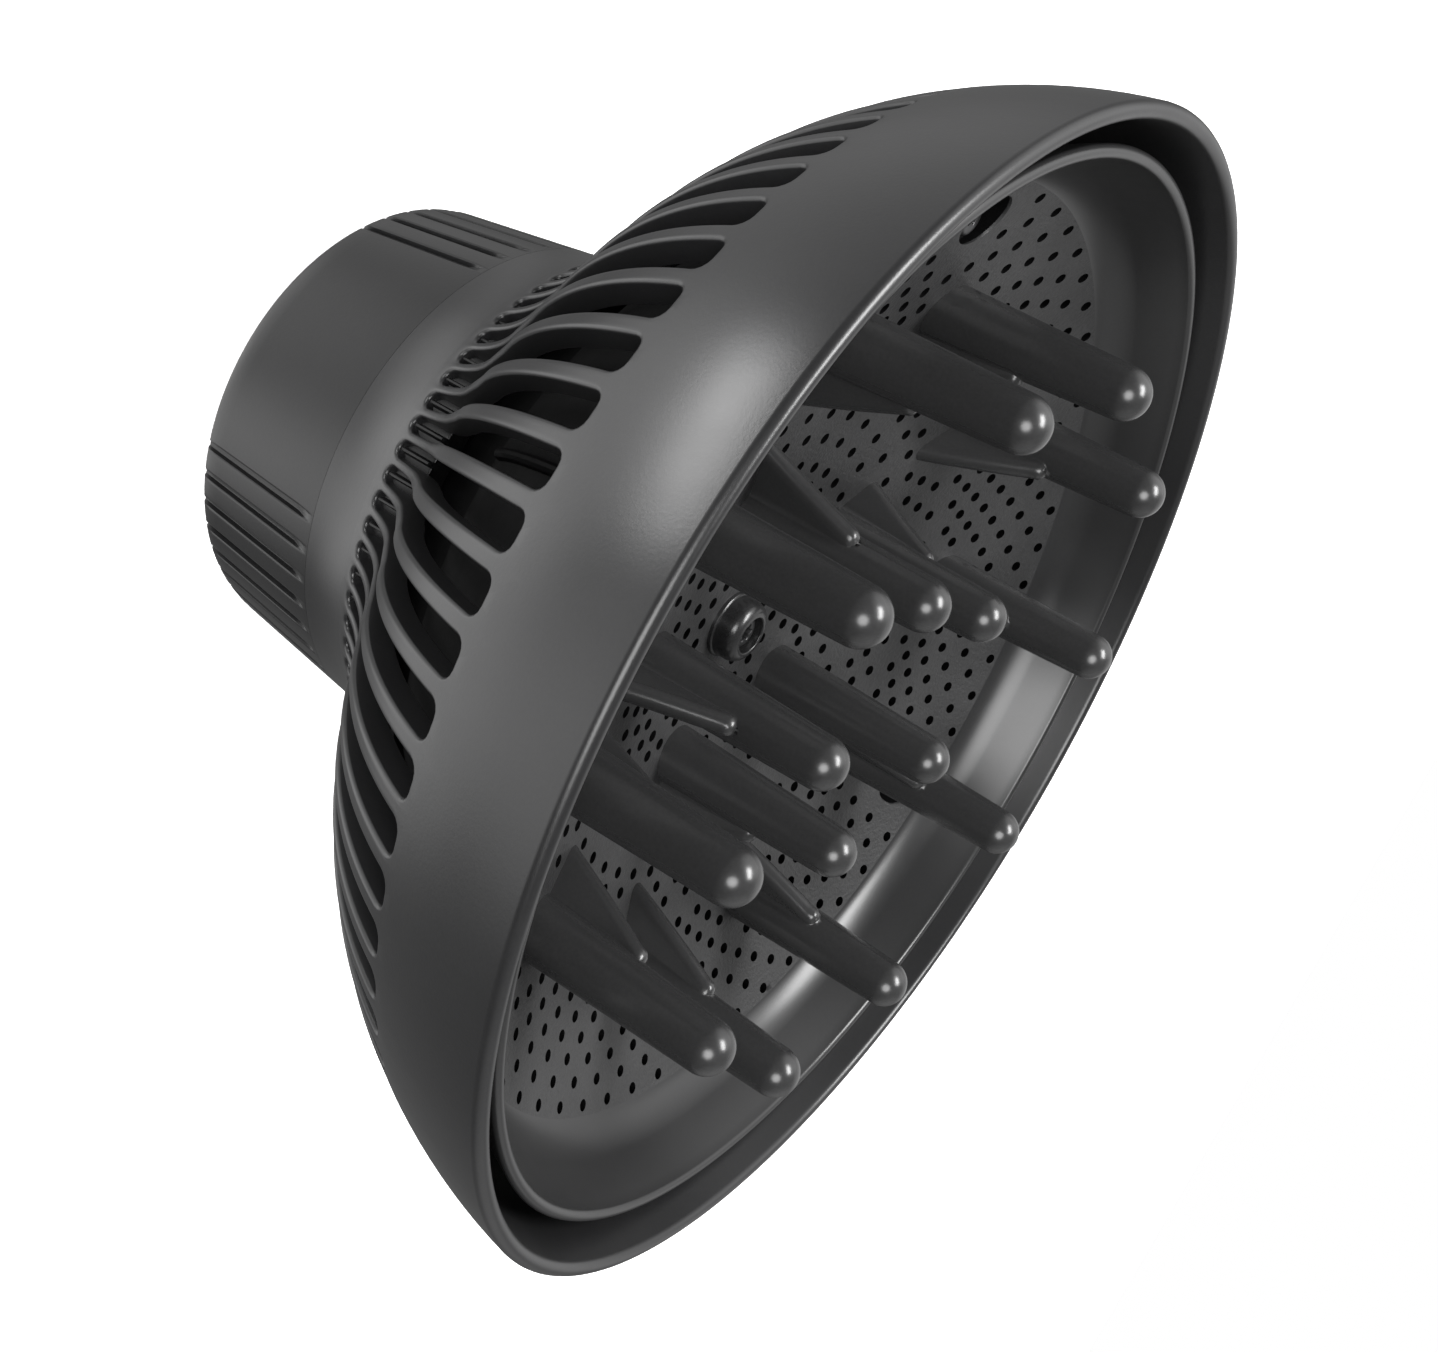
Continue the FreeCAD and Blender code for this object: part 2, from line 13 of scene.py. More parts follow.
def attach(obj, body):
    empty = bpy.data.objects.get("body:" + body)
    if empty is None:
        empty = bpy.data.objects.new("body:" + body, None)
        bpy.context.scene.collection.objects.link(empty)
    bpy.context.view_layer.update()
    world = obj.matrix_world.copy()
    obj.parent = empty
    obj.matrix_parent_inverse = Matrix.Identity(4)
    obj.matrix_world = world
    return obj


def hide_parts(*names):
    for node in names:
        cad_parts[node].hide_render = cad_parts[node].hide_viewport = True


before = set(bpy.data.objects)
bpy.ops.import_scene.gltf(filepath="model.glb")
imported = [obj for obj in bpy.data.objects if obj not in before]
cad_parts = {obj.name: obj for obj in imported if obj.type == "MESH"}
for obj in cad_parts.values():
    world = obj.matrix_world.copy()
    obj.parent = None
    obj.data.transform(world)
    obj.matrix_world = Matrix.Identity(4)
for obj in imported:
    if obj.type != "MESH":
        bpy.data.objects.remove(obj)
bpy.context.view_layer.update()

MM = 0.001
TURN = 2 * math.pi
WELD_DIGITS, SHARP_ANGLE, NORMAL_WEIGHT = 3, math.radians(38), 60

# ---- sizes -------------------------------------------------------------------------------------
# A pair is a radius and a height. The sizes are the CAD's, apart from a slimmer rim and rounder
# edges, which are finer than its solids need.
MOUTH, RIM_WALL = (75.07, 89.8), 2.0
SHOULDER = (50.5, 46.8)
WAIST = (44.0, 41.3)
NECK = (33.9, 22.2)
SHOULDER_ARC, NECK_ARC, BELL_WALL = 62.0, 29.0, 2.8
SPIGOT_OUT, SPIGOT_IN, SPIGOT_END, SEAT = 28.6, 26.4, 2.6, 24.0
SLOTS, SLOT_HALF, SLOT_START = 72, math.radians(1.625), math.radians(2.0)
SLOT_TOP, SLOT_BOTTOM, SLOT_EDGE = 73.0, 32.2, 0.45
SLOT_HEAD_ROUND, SLOT_FOOT_ROUND, SLOT_ROWS, SLOT_MID_DEPTH = 1.3, 1.0, 44, 1.6
SECTOR_ABOVE, SECTOR_BELOW = 2.6, 1.6
DISH_Z, DISH_R, DISH_WALL, DISH_EDGE = 62.1, 138.0, 2.0, 62.6
FINGER_ANGLE = 9.5
FINGERS = [("inner", 72 * n) for n in range(5)] + [("outer", 36 * n) for n in range(10)]
FINGER = {
    "inner": {"circle": 18.15, "dome": 87.85, "web_top": 78.2, "side": 1},
    "outer": {"circle": 45.7, "dome": 94.2, "web_top": 82.5, "side": -1},
}
TIP_R, BASE_R, FOOT_DROP = 3.24, 3.93, 25.0
WEB_REACH, WEB_TOP_REACH, WEB_HALF, WEB_ROUND = 10.5, 4.5, 1.3, 1.15
SCREW_CIRCLE, SCREW_ANGLE, POCKET_R, POCKET_DEPTH = 57.0, 81.5, 3.4, 2.9
THIRDS = (0, 120, 240)
BOSS_R, BOSS_TOP, RECESS_R, RECESS_DEPTH = 4.2, 65.3, 2.45, 1.6
BOSS_FILLET = 0.35
HOLE_R, HOLE_PHASE = 0.78, 2.4
# Each band of holes: its outermost radius, its rings, the ratio between them, and holes to a ring.
HOLE_BANDS = (
    (61.4, 9, 0.9564, 60),
    (39.0, 3, 0.934, 48),
    (29.9, 2, 0.88, 36),
    (22.3, 3, 0.888, 36),
    (14.1, 1, 1.0, 30),
    (10.5, 1, 1.0, 20),
    (7.3, 1, 1.0, 16),
)


# ---- mesh tools --------------------------------------------------------------------------------

class Shape:
    """Points and faces in millimetres, gathered grid by grid and welded when made."""

    def __init__(self):
        self.points = []
        self.faces = []
        self.slots = []
        self.count = 0

    def add(self, points, faces, slot=0):
        points = np.asarray(points, float).reshape(-1, 3)
        self.points.append(points)
        self.faces.extend(tuple(i + self.count for i in face) for face in faces)
        self.slots.extend([slot] * len(faces))
        self.count += len(points)

    def grid(self, rows, closed=False, slot=0, flip=False):
        """Quads between rows of points; closed joins each row's last point to its first."""
        rows = np.asarray(rows, float)
        high, wide = rows.shape[:2]
        spans = wide if closed else wide - 1
        faces = []
        for i in range(high - 1):
            for j in range(spans):
                k = (j + 1) % wide
                quad = (i * wide + j, i * wide + k, (i + 1) * wide + k, (i + 1) * wide + j)
                faces.append(quad[::-1] if flip else quad)
        self.add(rows.reshape(-1, 3), faces, slot)

    def revolve(self, profile, steps=192, slot=0):
        """Surface turned about Z; the outside is on the right of the profile's way."""
        angles = np.arange(steps) * TURN / steps
        rows = [[(r * math.cos(a), r * math.sin(a), z) for a in angles] for r, z in profile]
        self.grid(rows, closed=True, slot=slot)

    def repeat(self, count, start=0.0):
        """The whole shape again at even turns about Z, the first one turned by start."""
        points = np.concatenate(self.points)
        faces, slots = list(self.faces), list(self.slots)
        self.points, self.faces, self.slots, self.count = [], [], [], 0
        for n in range(count):
            c, s = math.cos(start + TURN * n / count), math.sin(start + TURN * n / count)
            turned = points @ np.array([[c, s, 0], [-s, c, 0], [0, 0, 1]])
            base = self.count
            self.points.append(turned)
            self.faces.extend(tuple(i + base for i in face) for face in faces)
            self.slots.extend(slots)
            self.count += len(points)

    def move(self, radius, degrees, height=0.0):
        """The whole shape shifted to a place given by its radius, azimuth and height."""
        angle = math.radians(degrees)
        shift = np.array([radius * math.cos(angle), radius * math.sin(angle), height])
        self.points = [points + shift for points in self.points]
        return self

    def mesh(self, name):
        """Mesh in metres, with meeting points welded and its sharp edges marked."""
        points = np.concatenate(self.points)
        keys = np.round(points, WELD_DIGITS).astype(np.float64)
        _, first, index = np.unique(keys, axis=0, return_index=True, return_inverse=True)
        index = index.reshape(-1)
        faces, slots = [], []
        for face, slot in zip(self.faces, self.slots):
            welded = []
            for i in face:
                if index[i] not in welded:
                    welded.append(int(index[i]))
            if len(welded) > 2:
                faces.append(welded)
                slots.append(slot)
        mesh = bpy.data.meshes.new(name)
        mesh.from_pydata((points[first] * MM).tolist(), [], faces)
        mesh.polygons.foreach_set("material_index", slots)
        mesh.validate()
        mesh.shade_smooth()
        mesh.set_sharp_from_angle(angle=SHARP_ANGLE)
        return mesh


def make(name, shape, materials, replaces=()):
    """Object from a shape, riding on the one body and standing for its CAD nodes."""
    mesh = shape.mesh(name)
    piece = bpy.data.objects.new(name, mesh)
    bpy.context.scene.collection.objects.link(piece)
    for material in materials:
        mesh.materials.append(material)
    normals = piece.modifiers.new("even_normals", "WEIGHTED_NORMAL")
    normals.weight = NORMAL_WEIGHT
    normals.keep_sharp = True
    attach(piece, "root")
    if replaces:
        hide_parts(*replaces)
    return piece


def arc(centre, radius, start, end, steps):
    """Points of an arc in the (radius, height) plane, angles in degrees."""
    angles = np.radians(np.linspace(start, end, steps + 1))
    return [(centre[0] + radius * math.cos(a), centre[1] + radius * math.sin(a)) for a in angles]


def arc_centre(start, end, radius, left):
    """Centre of the arc between two points, to the left or right of the way travelled."""
    start, end = np.array(start), np.array(end)
    chord = end - start
    rise = math.sqrt(radius ** 2 - chord @ chord / 4)
    normal = np.array([-chord[1], chord[0]]) / math.hypot(*chord)
    return (start + end) / 2 + normal * (rise if left else -rise)


def bezier(first, second, third, last, steps):
    """Points of a cubic curve in the (radius, height) plane."""
    a, b, c, d = (np.array(point) for point in (first, second, third, last))
    points = []
    for t in np.linspace(0, 1, steps + 1):
        near = (1 - t) ** 3 * a + 3 * t * (1 - t) ** 2 * b
        points.append(tuple(near + 3 * t ** 2 * (1 - t) * c + t ** 3 * d))
    return points


# ---- outer bell --------------------------------------------------------------------------------

SHOULDER_CENTRE = arc_centre(SHOULDER, MOUTH, SHOULDER_ARC, True)
NECK_CENTRE = arc_centre(NECK, WAIST, NECK_ARC, False)


def bell_outline(z):
    """Radius and outward normal of the bell's outer surface at a height."""
    if z > SHOULDER[1]:
        rise = (z - SHOULDER_CENTRE[1]) / SHOULDER_ARC
        across = math.sqrt(1 - rise ** 2)
        return SHOULDER_CENTRE[0] + SHOULDER_ARC * across, (across, rise)
    if z < WAIST[1]:
        rise = (z - NECK_CENTRE[1]) / NECK_ARC
        across = math.sqrt(1 - rise ** 2)
        return NECK_CENTRE[0] - NECK_ARC * across, (across, -rise)
    span = (SHOULDER[0] - WAIST[0], SHOULDER[1] - WAIST[1])
    length = math.hypot(*span)
    share = (z - WAIST[1]) / span[1]
    return WAIST[0] + share * span[0], (span[1] / length, -span[0] / length)


def bell_point(angle, z, depth=0.0):
    """Point at that depth below the bell's outer surface, measured square to it."""
    radius, normal = bell_outline(z)
    radius -= normal[0] * depth
    return (radius * math.cos(angle), radius * math.sin(angle), z - normal[1] * depth)


def slot_loop(grow):
    """Half of a slot's outline, from the middle of its foot to the middle of its head."""
    foot, head = SLOT_BOTTOM - grow, SLOT_TOP + grow
    foot_round, head_round = SLOT_FOOT_ROUND + grow, SLOT_HEAD_ROUND + grow
    loop = []

    def put(inset, z):
        radius = bell_outline(z)[0]
        loop.append((SLOT_HALF + (grow - inset) / radius, z))

    foot_half = SLOT_HALF * bell_outline(foot)[0] + grow
    head_half = SLOT_HALF * bell_outline(head)[0] + grow
    for k in range(3):
        put(foot_half - (foot_half - foot_round) * k / 3, foot)
    for k in range(5):
        turn = math.pi / 8 * k
        put(foot_round * (1 - math.sin(turn)), foot + foot_round * (1 - math.cos(turn)))
    low, high = foot + foot_round, head - head_round
    for k in range(1, SLOT_ROWS):
        put(0, low + (high - low) * k / SLOT_ROWS)
    for k in range(5):
        turn = math.pi / 8 * k
        put(head_round * (1 - math.cos(turn)), high + head_round * math.sin(turn))
    for k in range(1, 5):
        put(head_round + (head_half - head_round) * k / 4, head)
    loop[0] = (0.0, foot)
    loop[-1] = (0.0, head)
    return loop


def sector_edge(loop):
    """Edge of the half sector round a slot, one point for each point of the slot's loop."""
    half = math.pi / SLOTS
    foot, head = SLOT_BOTTOM - SECTOR_BELOW, SLOT_TOP + SECTOR_ABOVE
    edge = []
    last = len(loop) - 1
    for k, (_, z) in enumerate(loop):
        if k <= 5:
            edge.append((half * k / 5, foot))
        elif k >= last - 6:
            edge.append((half * (last - k) / 6, head))
        else:
            low, high = loop[7][1], loop[last - 8][1]
            share = (z - low) / (high - low)
            if k < 7:
                edge.append((half, foot + (low - foot) * (k - 5) / 2))
            elif k > last - 8:
                edge.append((half, high + (head - high) * (k - last + 8) / 2))
            else:
                edge.append((half, low + share * (high - low)))
    return edge


def outer_bell():
    """The sector round one slot in two mirrored halves, with rim and spigot, and all its turns."""
    shape = Shape()
    opening = slot_loop(SLOT_EDGE)
    wall = slot_loop(0.0)
    edge = sector_edge(opening)
    for side in (1, -1):
        rows = []
        for share in (0.0, 0.5, 1.0):
            rows.append([bell_point(side * (e[0] + (o[0] - e[0]) * share),
                                    e[1] + (o[1] - e[1]) * share) for e, o in zip(edge, opening)])
        for step in range(1, 5):
            turn = math.pi / 8 * step
            loop = slot_loop(SLOT_EDGE * (1 - math.sin(turn)))
            sunk = SLOT_EDGE * (1 - math.cos(turn))
            rows.append([bell_point(side * a, z, sunk) for a, z in loop])
        for depth in (SLOT_MID_DEPTH, BELL_WALL):
            rows.append([bell_point(side * a, z, depth) for a, z in wall])
        rows.append([bell_point(side * a, z, BELL_WALL) for a, z in edge])
        shape.grid(rows, flip=side > 0)

        top = [a for a, z in edge if z == edge[-1][1]]
        heights = np.linspace(edge[-1][1], MOUTH[1], 9)
        rows = [[bell_point(side * a, z) for a in top] for z in heights]
        radius, normal = bell_outline(MOUTH[1])
        centre = (radius - normal[0] * RIM_WALL / 2, MOUTH[1] - normal[1] * RIM_WALL / 2)
        lean = math.degrees(math.atan2(normal[1], normal[0]))
        for r, z in arc(centre, RIM_WALL / 2, lean, lean + 180, 12)[1:-1]:
            rows.append([(r * math.cos(a), side * r * math.sin(a), z) for a in top])
        for z in heights[::-1]:
            share = (z - heights[0]) / (heights[-1] - heights[0])
            wall_here = BELL_WALL + (RIM_WALL - BELL_WALL) * share ** 2
            rows.append([bell_point(side * a, z, wall_here) for a in top])
        shape.grid(rows, flip=side < 0)

        foot = [a for a, z in edge if z == edge[0][1]]
        heights = np.linspace(edge[0][1], NECK[1] + 0.04, 9)
        rows = [[bell_point(side * a, z) for a in foot] for z in heights]
        under = [(NECK[0] - 0.05, NECK[1]), (SPIGOT_OUT, NECK[1]), (SPIGOT_OUT, SPIGOT_END),
                 (SPIGOT_IN, SPIGOT_END), (SPIGOT_IN, SEAT), (NECK[0] - BELL_WALL, SEAT)]
        for r, z in under:
            rows.append([(r * math.cos(a), side * r * math.sin(a), z) for a in foot])
        rows += [[bell_point(side * a, z, BELL_WALL) for a in foot] for z in heights[-2::-1]]
        shape.grid(rows, flip=side > 0)
    shape.repeat(SLOTS, SLOT_START)
    return shape


# ---- grip collar and sleeve --------------------------------------------------------------------

COLLAR_END, COLLAR_BORE, COLLAR_EDGE = 31.4, 28.7, 1.2
GROOVE_W, GROOVE_D, GROOVE_PITCH, GROOVES, PANEL = 1.1, 0.75, 7.125, 17, -98.5
GROOVE_R, GROOVE_END, GROOVE_FADE = 32.5, 21.6, 2.8
SLEEVE_BORE, SLEEVE_RINGS, RING_PITCH, RING_DEPTH = 23.5, 29, 0.6, 0.12


def collar_columns():
    """Azimuths round the collar with the share of the groove's depth at each."""
    half = GROOVE_W / 2
    cross = [(-half - 0.3, 0.0), (-half - 0.12, 0.03), (-half, 0.16), (-half + 0.05, 0.5),
             (-half + 0.14, 0.92), (-half + 0.3, 1.0)]
    cross += [(-x, d) for x, d in reversed(cross)]
    columns = []
    for side in (0, 180):
        middle = PANEL + 90 + side
        for n in range(GROOVES):
            centre = middle + (n - (GROOVES - 1) / 2) * GROOVE_PITCH
            columns += [(centre + math.degrees(x / GROOVE_R), d) for x, d in cross]
            if n < GROOVES - 1:
                columns += [(centre + GROOVE_PITCH * share, 0.0) for share in (0.36, 0.5, 0.64)]
        last = middle + (GROOVES - 1) / 2 * GROOVE_PITCH
        gap = 180 - (GROOVES - 1) * GROOVE_PITCH
        columns += [(last + gap * k / 40, 0.0) for k in range(2, 39)]
    return columns


def collar_cone(z):
    return COLLAR_END + (NECK[0] - COLLAR_END) * z / NECK[1]


def grip_collar():
    """Conical ring whose grooves run out below its upper end, a hair short of the bell."""
    columns = collar_columns()
    top = NECK[1] - 0.004
    outside = arc((COLLAR_END - COLLAR_EDGE, COLLAR_EDGE), COLLAR_EDGE, -90, 0, 6)
    heights = list(np.linspace(2.0, 18.0, 12)) + [18.8, 19.5, 20.2, 20.9, GROOVE_END, top]
    outside += [(collar_cone(z), z) for z in heights]
    rows = [[(COLLAR_BORE, 0.0)] * len(columns)]
    for r, z in outside:
        cut = GROOVE_D * min(1.0, max(0.0, (GROOVE_END - z) / GROOVE_FADE))
        rows.append([(min(r, collar_cone(z) - cut * d) if d else r, z) for _, d in columns])
    rows += [[(COLLAR_BORE, top)] * len(columns), [(COLLAR_BORE, 0.0)] * len(columns)]
    turned = []
    for row in rows:
        turned.append([(r * math.cos(math.radians(a)), r * math.sin(math.radians(a)), z)
                       for (r, z), (a, _) in zip(row, columns)])
    shape = Shape()
    shape.grid(turned, closed=True)
    return shape


def barrel_sleeve():
    """Soft sleeve with a lead-in, fine rings down its bore and a stop, open at both ends."""
    shape = Shape()
    profile = [(25.2, 0.8), (28.2, 0.8), (28.4, 1.0), (28.4, 2.5), (26.3, 2.5), (26.3, 22.0),
               (22.2, 22.0), (22.0, 21.8), (22.0, 20.6), (22.2, 20.4), (SLEEVE_BORE, 20.4)]
    profile += [(SLEEVE_BORE + (RING_DEPTH if k % 2 else 0.0), 20.2 - RING_PITCH * k)
                for k in range(SLEEVE_RINGS)]
    profile += [(SLEEVE_BORE, 2.6), (24.6, 1.4), (25.2, 0.8)]
    shape.revolve(profile, 144)
    return shape


# ---- finger bowl -------------------------------------------------------------------------------

HOLE_STEPS, RIM_STEPS, BOSS_STEPS, POCKET_STEPS = 14, 360, 48, 32
POST_GAP, WEB_GAP, WALL_GAP = 0.4, 0.3, 0.2     # least plastic between a hole and its neighbours
POCKET_WALL_R, POCKET_EDGE, POCKET_CUP = 4.8, 0.3, 1.41
FILL_PITCH, FILL_REACH, ROW_RATIO = 1.9, 40, 0.866
HOLE_ROOM, POCKET_ROOM, BOSS_ROOM, RIM_ROOM = 1.25, 4.4, 5.4, 0.9
LIP, LIP_ROUND = (68.9, 87.2), 0.8
# The last slot paints the walls of the holes and pockets near-black: painted shade.
GRAINED, SMOOTH, BOSS_SLOT, PAINTED_SHADE = range(4)     # the bowl's material slots


def dish(radius):
    """Height of the dish's upper face."""
    return DISH_Z + DISH_R - math.sqrt(DISH_R ** 2 - radius ** 2)


def on_dish(x, y, depth=0.0):
    """Point at that depth below the dish, measured square to it."""
    direction = np.array([x, y, -math.sqrt(DISH_R ** 2 - x * x - y * y)]) / DISH_R
    return np.array([0, 0, DISH_Z + DISH_R]) + direction * (DISH_R + depth)


def hole_is_free(x, y):
    """Whether a hole there misses every finger, web and screw pocket."""
    for kind, turn in FINGERS:
        spec = FINGER[kind]
        angle = math.radians(FINGER_ANGLE + turn)
        along = (x * math.cos(angle) + y * math.sin(angle) - spec["circle"]) * spec["side"]
        aside = abs(y * math.cos(angle) - x * math.sin(angle))
        if math.hypot(along, aside) < BASE_R + HOLE_R + POST_GAP:
            return False
        if 0 < along < WEB_REACH + HOLE_R and aside < WEB_HALF + HOLE_R + WEB_GAP:
            return False
    for turn in THIRDS:
        angle = math.radians(SCREW_ANGLE + turn)
        away = math.hypot(x - SCREW_CIRCLE * math.cos(angle), y - SCREW_CIRCLE * math.sin(angle))
        if away < POCKET_WALL_R + HOLE_R + WALL_GAP:
            return False
    return True


def hole_centres():
    centres = []
    ring = 0
    for outermost, rings, ratio, count in HOLE_BANDS:
        for step in range(rings):
            radius = outermost * ratio ** step
            phase = HOLE_PHASE + 180 / count * (ring % 2)
            for n in range(count):
                angle = math.radians(phase + 360 / count * n)
                x, y = radius * math.cos(angle), radius * math.sin(angle)
                if hole_is_free(x, y):
                    centres.append((x, y))
            ring += 1
    return centres


def circle(x, y, radius, steps):
    """Ring of points round a centre, seen from above, that is round on the dish's slope."""
    away = math.hypot(x, y) or 1.0
    lean = math.sqrt(1 - (away / DISH_R) ** 2)
    ux, uy = (x / away, y / away) if away > 1e-6 else (1.0, 0.0)
    ring = []
    for n in range(steps):
        a = TURN * n / steps
        along, across = radius * math.cos(a) * lean, radius * math.sin(a)
        ring.append((x + ux * along - uy * across, y + uy * along + ux * across))
    return ring


def dish_plate(shape):
    """Both faces of the dish, the wall of every hole, and the three screw pockets."""
    centres = hole_centres()
    pockets = [(SCREW_CIRCLE * math.cos(math.radians(SCREW_ANGLE + t)),
                SCREW_CIRCLE * math.sin(math.radians(SCREW_ANGLE + t))) for t in THIRDS]
    loops = [circle(x, y, HOLE_R, HOLE_STEPS) for x, y in centres]
    loops += [circle(x, y, POCKET_R + POCKET_EDGE, POCKET_STEPS) for x, y in pockets]
    loops.append(circle(0, 0, BOSS_R + BOSS_FILLET, BOSS_STEPS))
    rim = [(DISH_EDGE * math.cos(TURN * n / RIM_STEPS), DISH_EDGE * math.sin(TURN * n / RIM_STEPS))
           for n in range(RIM_STEPS)]
    points, edges, label = [], [], []
    for number, loop in enumerate(loops + [rim]):
        start = len(points)
        points += loop
        label += [number if number < len(loops) else -1] * len(loop)
        edges += [(start + k, start + (k + 1) % len(loop)) for k in range(len(loop))]
    taken = np.array(centres + pockets + [(0.0, 0.0)])
    room = np.array([HOLE_ROOM] * len(centres) + [POCKET_ROOM] * len(pockets) + [BOSS_ROOM])
    for row in range(-FILL_REACH, FILL_REACH + 1):
        for column in range(-FILL_REACH, FILL_REACH + 1):
            x, y = FILL_PITCH * (column + row % 2 / 2), FILL_PITCH * row * ROW_RATIO
            if math.hypot(x, y) < DISH_EDGE - RIM_ROOM:
                if (np.hypot(taken[:, 0] - x, taken[:, 1] - y) > room).all():
                    points.append((x, y))
                    label.append(-1)
    vectors = [Vector(point) for point in points]
    flat, _, triangles, origin, _, _ = delaunay_2d_cdt(vectors, edges, [], 0, 1e-6)
    tag = [label[o[0]] if o else -1 for o in origin]
    kept = [t for t in triangles if not (tag[t[0]] >= 0 and tag[t[0]] == tag[t[1]] == tag[t[2]])]
    kept = [t if turns_left(flat, t) else t[::-1] for t in kept]
    shape.add([on_dish(p.x, p.y) for p in flat], kept, GRAINED)
    shape.add([on_dish(p.x, p.y, DISH_WALL) for p in flat], [t[::-1] for t in kept], SMOOTH)
    for loop in loops[:len(centres)]:
        rows = [[on_dish(*p, depth) for p in loop] for depth in (0.0, 0.25, DISH_WALL)]
        # Hole walls painted near-black: painted shade in the holes' depths.
        shape.grid(rows, closed=True, slot=PAINTED_SHADE, flip=True)
    for centre, loop in zip(pockets, loops[len(centres):]):
        screw_pocket(shape, centre, loop)


def screw_pocket(shape, centre, loop):
    """Blind pocket under an opening in the dish, with its bore and the cup behind it."""
    x, y = centre
    floor = dish(SCREW_CIRCLE) - POCKET_DEPTH
    ring = []
    for n in range(POCKET_STEPS):
        a = math.atan2(y, x) + TURN * n / POCKET_STEPS
        ring.append((x + POCKET_R * math.cos(a), y + POCKET_R * math.sin(a)))

    def level(share, height):
        return [(x + (u - x) * share, y + (v - y) * share, height) for u, v in ring]

    def below(share, depth):
        return [(x + (u - x) * share, y + (v - y) * share, dish(math.hypot(u, v)) - depth)
                for u, v in ring]

    bore, cup = 0.5, POCKET_CUP
    rows = [below(1, POCKET_EDGE), level(1, floor + 0.25), level(0.93, floor), level(bore, floor),
            level(bore, floor - 1.4), level(cup, floor - 1.4), below(cup, 1)]
    shape.grid([[on_dish(*p) for p in loop], rows[0]], closed=True, slot=GRAINED, flip=True)
    # Pocket wall, floor, bore and cup painted near-black: painted shade.
    shape.grid(rows, closed=True, slot=PAINTED_SHADE, flip=True)
    shape.grid([[on_dish(*p, DISH_WALL) for p in loop], below(cup, 1.9)], closed=True, slot=SMOOTH)


def turns_left(flat, triangle):
    a, b, c = (flat[i] for i in triangle)
    return (b.x - a.x) * (c.y - a.y) - (b.y - a.y) * (c.x - a.x) > 0


def finger_bowl():
    """Grained dish, smooth wall and lip, polished boss, and hole and pocket walls painted
    near-black: painted shade for their dark depths.
    """
    shape = Shape()
    dish_plate(shape)
    under = on_dish(DISH_EDGE, 0.0, DISH_WALL)
    profile = [(under[0], under[2]), (64.6, 75.9), (65.6, 76.9), (66.4, 78.2), (66.8, 79.4)]
    profile += [(66.8 + 2.9 * k / 6, 79.4 + 7.8 * k / 6) for k in range(1, 6)]
    profile += arc(LIP, LIP_ROUND, 0, 180, 10)
    profile += [(LIP[0] - LIP_ROUND - 2.9 * k / 8, LIP[1] - 7.6 * k / 8) for k in range(1, 6)]
    edge = (DISH_EDGE, dish(DISH_EDGE))
    profile += bezier((65.93, 81.5), (65.16, 79.5), (DISH_EDGE + 1.23, edge[1] + 0.63), edge, 16)
    shape.revolve(profile, RIM_STEPS, slot=SMOOTH)
    crest, inside, outside = BOSS_TOP + 0.49, 0.2, 1.55
    base = dish(BOSS_R + BOSS_FILLET)
    profile = [(RECESS_R, BOSS_TOP - RECESS_DEPTH), (RECESS_R, crest - inside - 0.05)]
    profile += arc((RECESS_R + inside, crest - inside), inside, 180, 90, 7)
    profile += arc((BOSS_R - outside, crest - outside), outside, 90, 0, 12)
    profile += [(BOSS_R, base + 0.75), (BOSS_R + 0.05, base + 0.62), (BOSS_R + 0.22, base + 0.55),
                (BOSS_R + 0.3, base + 0.45), (BOSS_R + 0.3, base + 0.1),
                (BOSS_R + BOSS_FILLET, base)]
    profile = [(0.6, BOSS_TOP - RECESS_DEPTH)] + profile
    shape.revolve(profile[::-1], BOSS_STEPS, slot=BOSS_SLOT)
    lower = on_dish(BOSS_R + BOSS_FILLET, 0.0, DISH_WALL)
    shape.revolve([(1.7, 57.5), (BOSS_R, 57.5), (BOSS_R, lower[2] - 0.1), (lower[0], lower[2])],
                  BOSS_STEPS, slot=SMOOTH)
    return shape


# ---- fingers -----------------------------------------------------------------------------------

POST_STEPS, FRONT_STEPS, NOSE_STRETCH, NARROWING = 44, 21, 1.25, 0.9


def section(radius, half, reach, z_of):
    """Outline of post and web together; a reach inside the post leaves the post alone."""
    half = min(half, radius * 0.9)
    gap = math.asin(half / radius)
    ring = []
    for a in np.linspace(gap, TURN - gap, POST_STEPS):
        ring.append((radius * math.cos(a), radius * math.sin(a)))
    foot = radius * math.cos(gap)
    if reach <= radius:
        for a in np.linspace(-gap, gap, FRONT_STEPS)[1:-1]:
            ring.append((radius * math.cos(a), radius * math.sin(a)))
    else:
        edge = min(WEB_ROUND, half * 0.98)
        lead = edge * NOSE_STRETCH
        side = [(foot + (reach - lead - foot) * k / 6, -half) for k in range(1, 6)]
        nose = []
        for a in np.linspace(-90, 0, 5):
            t = math.radians(a)
            nose.append((reach - lead + lead * math.cos(t), -half + edge + edge * math.sin(t)))
        near = side + nose[:4]
        ring += near + [(reach, 0.0)] + [(x, -y) for x, y in reversed(near)]
    return [(x, y, z_of(x, y)) for x, y in ring]


